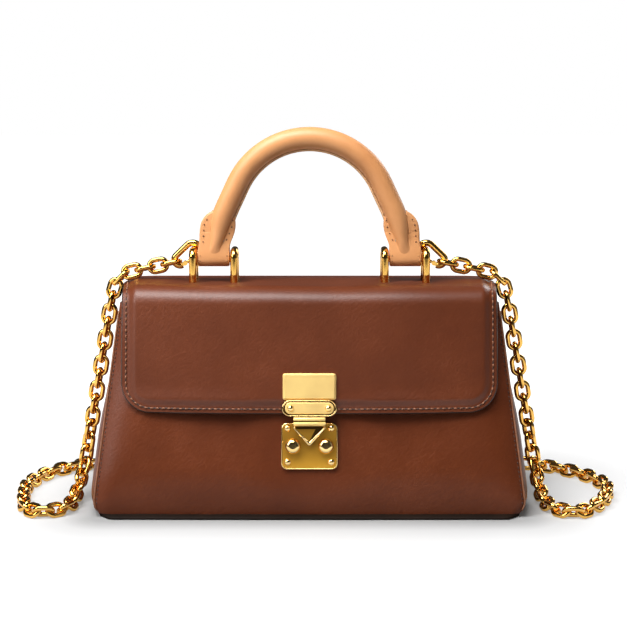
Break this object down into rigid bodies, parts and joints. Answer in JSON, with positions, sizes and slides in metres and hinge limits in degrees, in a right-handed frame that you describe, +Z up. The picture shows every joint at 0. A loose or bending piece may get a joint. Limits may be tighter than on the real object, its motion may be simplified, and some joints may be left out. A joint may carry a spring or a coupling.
{
  "type": "chain shoulder bag",
  "caption": "Structured leather handbag with a fold-over flap, press-button hasp lock, rolled top handle on metal staples and a detachable gold cable chain.",
  "frame": {"origin": "centre of the base on the floor", "axes": "+Z up, +X along the bag's width to the right as seen from the front, the front with the lock faces -Y"},
  "size_m": [0.3661, 0.1258, 0.2182],
  "materials": {
    "brown_leather": "satin, lightly grained",
    "dark_leather": "satin, dark brown",
    "tan_leather": "smooth, natural tan",
    "lining_fabric": "matt",
    "board": "matt",
    "cord": "matt",
    "steel": "bright",
    "inner_brass": "satin",
    "gold": "polished, gold coloured"
  },
  "bodies": {
    "bag": {"back_panel": "brown_leather", "base_board": "board", "base_panel": "dark_leather", "button_spring_left": "steel", "button_spring_right": "steel", "catch_leaf": "steel", "chain_back": "gold", "chain_loop_left": "gold", "chain_loop_right": "gold", "chain_run_left": "gold", "chain_run_right": "gold", "front_panel": "brown_leather", "gusset_left": "brown_leather", "gusset_right": "brown_leather", "lining": "lining_fabric", "lock_case": "inner_brass", "lock_plate": "gold", "lock_rivets": "gold"},
    "flap": {"flap": "brown_leather", "flap_lining": "lining_fabric", "staple_plate_left": "inner_brass", "staple_plate_right": "inner_brass", "staple_left_outer": "gold", "staple_left_inner": "gold", "staple_right_inner": "gold", "staple_right_outer": "gold", "staple_nuts": "inner_brass", "handle_pin_left": "gold", "handle_pin_right": "gold", "upper_plate": "gold", "flap_backing_plate": "inner_brass", "hasp_plate": "gold", "hasp_bar": "gold", "hasp_screws": "gold", "hasp_hinge_pin": "gold"},
    "handle": {"handle_grip": "tan_leather", "handle_core": "cord", "handle_tab_left": "tan_leather", "handle_tab_right": "tan_leather"},
    "tongue": {"hasp_tongue": "gold"},
    "button_left": {"lock_button_left": "gold"},
    "button_right": {"lock_button_right": "gold"},
    "clip_left": {"clip_left": "gold", "clip_pin_left": "gold"},
    "clip_right": {"clip_right": "gold", "clip_pin_right": "gold"},
    "gate_left": {"clip_gate_left": "gold"},
    "gate_right": {"clip_gate_right": "gold"}
  },
  "joints": [
    {"name": "flap_hinge", "type": "hinge", "parent": "bag", "child": "flap", "pos_m": [0, 0.0285, 0.1282], "axis": [-1, 0, 0], "range_deg": [0, 110], "deforming": ["chain_run_left", "chain_run_right"]},
    {"name": "handle_swing", "type": "hinge", "parent": "flap", "child": "handle", "pos_m": [0, -0.0027, 0.1419], "axis": [1, 0, 0], "range_deg": [-12, 80]},
    {"name": "tongue_hinge", "type": "hinge", "parent": "flap", "child": "tongue", "pos_m": [0, -0.05019, 0.05571], "axis": [-1, 0, 0], "range_deg": [0, 80]},
    {"name": "button_press_left", "type": "slide", "parent": "bag", "child": "button_left", "axis": [0, 0.9822, -0.1877], "range_m": [0, 0.0016], "stiffness_N_per_m": 400, "deforming": ["button_spring_left"]},
    {"name": "button_press_right", "type": "slide", "parent": "bag", "child": "button_right", "axis": [0, 0.9822, -0.1877], "range_m": [0, 0.0016], "stiffness_N_per_m": 400, "deforming": ["button_spring_right"]},
    {"name": "clip_swing_left", "type": "hinge", "parent": "flap", "child": "clip_left", "pos_m": [-0.0676, 0.0033, 0.1462], "axis": [0, 1, 0], "range_deg": [-15, 25], "deforming": ["chain_run_left"]},
    {"name": "gate_left", "type": "hinge", "parent": "clip_left", "child": "gate_left", "pos_m": [-0.07272, 0.0033, 0.13864], "axis": [0, -1, 0], "range_deg": [0, 12], "stiffness_Nm_per_rad": 0.01},
    {"name": "clip_swing_right", "type": "hinge", "parent": "flap", "child": "clip_right", "pos_m": [0.0676, 0.0033, 0.1462], "axis": [0, -1, 0], "range_deg": [-15, 25], "deforming": ["chain_run_right"]},
    {"name": "gate_right", "type": "hinge", "parent": "clip_right", "child": "gate_right", "pos_m": [0.07272, 0.0033, 0.13864], "axis": [0, 1, 0], "range_deg": [0, 12], "stiffness_Nm_per_rad": 0.01}
  ]
}
